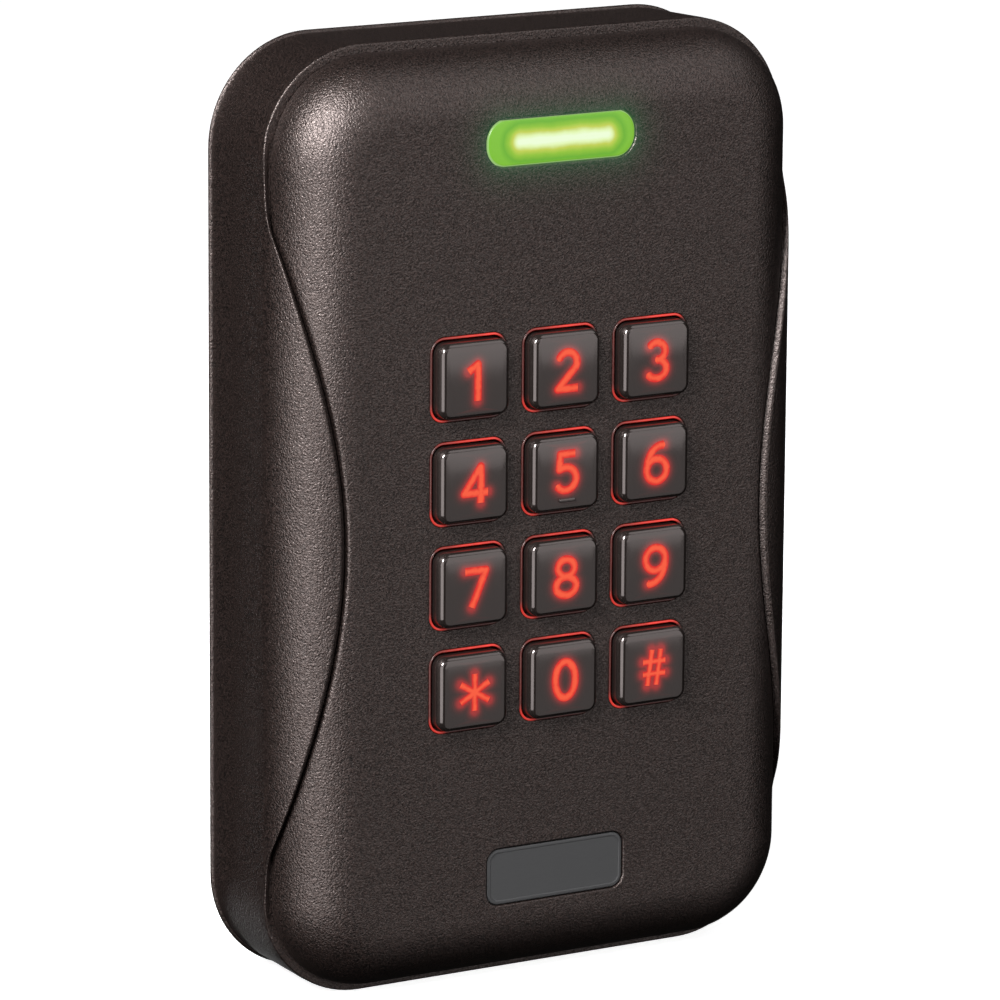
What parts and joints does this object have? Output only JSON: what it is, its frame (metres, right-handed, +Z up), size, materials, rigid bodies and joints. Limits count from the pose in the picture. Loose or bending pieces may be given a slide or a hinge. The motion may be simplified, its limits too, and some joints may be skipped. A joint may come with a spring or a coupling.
{
  "type": "keypad access reader",
  "caption": "Wall-mounted proximity reader with an hourglass front cover, a backlit telephone-style keypad, a status light bar and a screw-on mounting plate.",
  "frame": {"origin": "middle of the wall face, which is also the middle of the two wall-box screw slots", "axes": "+X to the viewer's right, -Y out of the wall towards the viewer, +Z up"},
  "size_m": [0.0814, 0.0262, 0.13],
  "materials": {
    "zinc_plated_steel": "satin zinc plating",
    "brass": "machined",
    "dark_steel": "black oxide",
    "screw_steel": "bright zinc",
    "textured_black_plastic": "fine moulded grain, very dark brown-black",
    "seal_rubber": "matt",
    "light_bar_green": "lit translucent green",
    "white_plastic": "translucent white",
    "badge_plastic": "smooth satin, blank",
    "circuit_board": "green solder resist",
    "terminal_plastic": "green moulded",
    "chip_plastic": "moulded black epoxy",
    "ferrite": "ferrite grey",
    "ceramic_parts": "fired ceramic",
    "connector_plastic": "natural moulded",
    "copper": "bare copper track",
    "gold_contacts": "gold flash",
    "status_led": "lit LED",
    "backlight_led": "lit LED",
    "translucent_rubber": "translucent silicone",
    "clear_red_guide": "edge-lit acrylic",
    "key_plastic": "semi-gloss dark grey",
    "carbon_pill": "carbon-filled"
  },
  "bodies": {
    "reader": {"mounting_plate": "zinc_plated_steel", "clinch_nut": "brass", "security_screw": "dark_steel", "rear_housing": "textured_black_plastic", "cover_seal": "seal_rubber", "front_cover": "textured_black_plastic", "light_bar_lens": "light_bar_green", "light_bar_diffuser": "white_plastic", "badge_plate": "badge_plastic", "key_surrounds": "clear_red_guide", "cover_screws": "screw_steel", "main_board": "circuit_board", "main_board_screws": "screw_steel", "terminal_block": "terminal_plastic", "terminal_screws": "screw_steel", "processor_chip": "chip_plastic", "radio_chip": "chip_plastic", "power_regulator": "chip_plastic", "power_coil": "ferrite", "timing_crystal": "screw_steel", "board_capacitors": "ceramic_parts", "buzzer": "chip_plastic", "tamper_sensor": "chip_plastic", "header_plug": "connector_plastic", "header_socket": "connector_plastic", "keypad_board": "circuit_board", "keypad_board_screws": "screw_steel", "antenna_coil": "copper", "status_leds": "status_led", "backlight_leds": "backlight_led", "contact_pads": "gold_contacts", "keypad_mat": "translucent_rubber", "key_light_guide": "clear_red_guide"},
    "key_1": {"key_1": "key_plastic", "contact_pill_1": "carbon_pill"},
    "key_2": {"key_2": "key_plastic", "contact_pill_2": "carbon_pill"},
    "key_3": {"key_3": "key_plastic", "contact_pill_3": "carbon_pill"},
    "key_4": {"key_4": "key_plastic", "contact_pill_4": "carbon_pill"},
    "key_5": {"key_5": "key_plastic", "contact_pill_5": "carbon_pill"},
    "key_6": {"key_6": "key_plastic", "contact_pill_6": "carbon_pill"},
    "key_7": {"key_7": "key_plastic", "contact_pill_7": "carbon_pill"},
    "key_8": {"key_8": "key_plastic", "contact_pill_8": "carbon_pill"},
    "key_9": {"key_9": "key_plastic", "contact_pill_9": "carbon_pill"},
    "key_star": {"key_star": "key_plastic", "contact_pill_star": "carbon_pill"},
    "key_0": {"key_0": "key_plastic", "contact_pill_0": "carbon_pill"},
    "key_hash": {"key_hash": "key_plastic", "contact_pill_hash": "carbon_pill"}
  },
  "joints": [
    {"name": "key_1_press", "type": "slide", "parent": "reader", "child": "key_1", "axis": [0, 1, 0], "range_m": [0, 0.0008], "stiffness_N_per_m": 1500, "springref_m": -0.0002, "deforming": ["keypad_mat"]},
    {"name": "key_2_press", "type": "slide", "parent": "reader", "child": "key_2", "axis": [0, 1, 0], "range_m": [0, 0.0008], "stiffness_N_per_m": 1500, "springref_m": -0.0002, "deforming": ["keypad_mat"]},
    {"name": "key_3_press", "type": "slide", "parent": "reader", "child": "key_3", "axis": [0, 1, 0], "range_m": [0, 0.0008], "stiffness_N_per_m": 1500, "springref_m": -0.0002, "deforming": ["keypad_mat"]},
    {"name": "key_4_press", "type": "slide", "parent": "reader", "child": "key_4", "axis": [0, 1, 0], "range_m": [0, 0.0008], "stiffness_N_per_m": 1500, "springref_m": -0.0002, "deforming": ["keypad_mat"]},
    {"name": "key_5_press", "type": "slide", "parent": "reader", "child": "key_5", "axis": [0, 1, 0], "range_m": [0, 0.0008], "stiffness_N_per_m": 1500, "springref_m": -0.0002, "deforming": ["keypad_mat"]},
    {"name": "key_6_press", "type": "slide", "parent": "reader", "child": "key_6", "axis": [0, 1, 0], "range_m": [0, 0.0008], "stiffness_N_per_m": 1500, "springref_m": -0.0002, "deforming": ["keypad_mat"]},
    {"name": "key_7_press", "type": "slide", "parent": "reader", "child": "key_7", "axis": [0, 1, 0], "range_m": [0, 0.0008], "stiffness_N_per_m": 1500, "springref_m": -0.0002, "deforming": ["keypad_mat"]},
    {"name": "key_8_press", "type": "slide", "parent": "reader", "child": "key_8", "axis": [0, 1, 0], "range_m": [0, 0.0008], "stiffness_N_per_m": 1500, "springref_m": -0.0002, "deforming": ["keypad_mat"]},
    {"name": "key_9_press", "type": "slide", "parent": "reader", "child": "key_9", "axis": [0, 1, 0], "range_m": [0, 0.0008], "stiffness_N_per_m": 1500, "springref_m": -0.0002, "deforming": ["keypad_mat"]},
    {"name": "key_star_press", "type": "slide", "parent": "reader", "child": "key_star", "axis": [0, 1, 0], "range_m": [0, 0.0008], "stiffness_N_per_m": 1500, "springref_m": -0.0002, "deforming": ["keypad_mat"]},
    {"name": "key_0_press", "type": "slide", "parent": "reader", "child": "key_0", "axis": [0, 1, 0], "range_m": [0, 0.0008], "stiffness_N_per_m": 1500, "springref_m": -0.0002, "deforming": ["keypad_mat"]},
    {"name": "key_hash_press", "type": "slide", "parent": "reader", "child": "key_hash", "axis": [0, 1, 0], "range_m": [0, 0.0008], "stiffness_N_per_m": 1500, "springref_m": -0.0002, "deforming": ["keypad_mat"]}
  ]
}
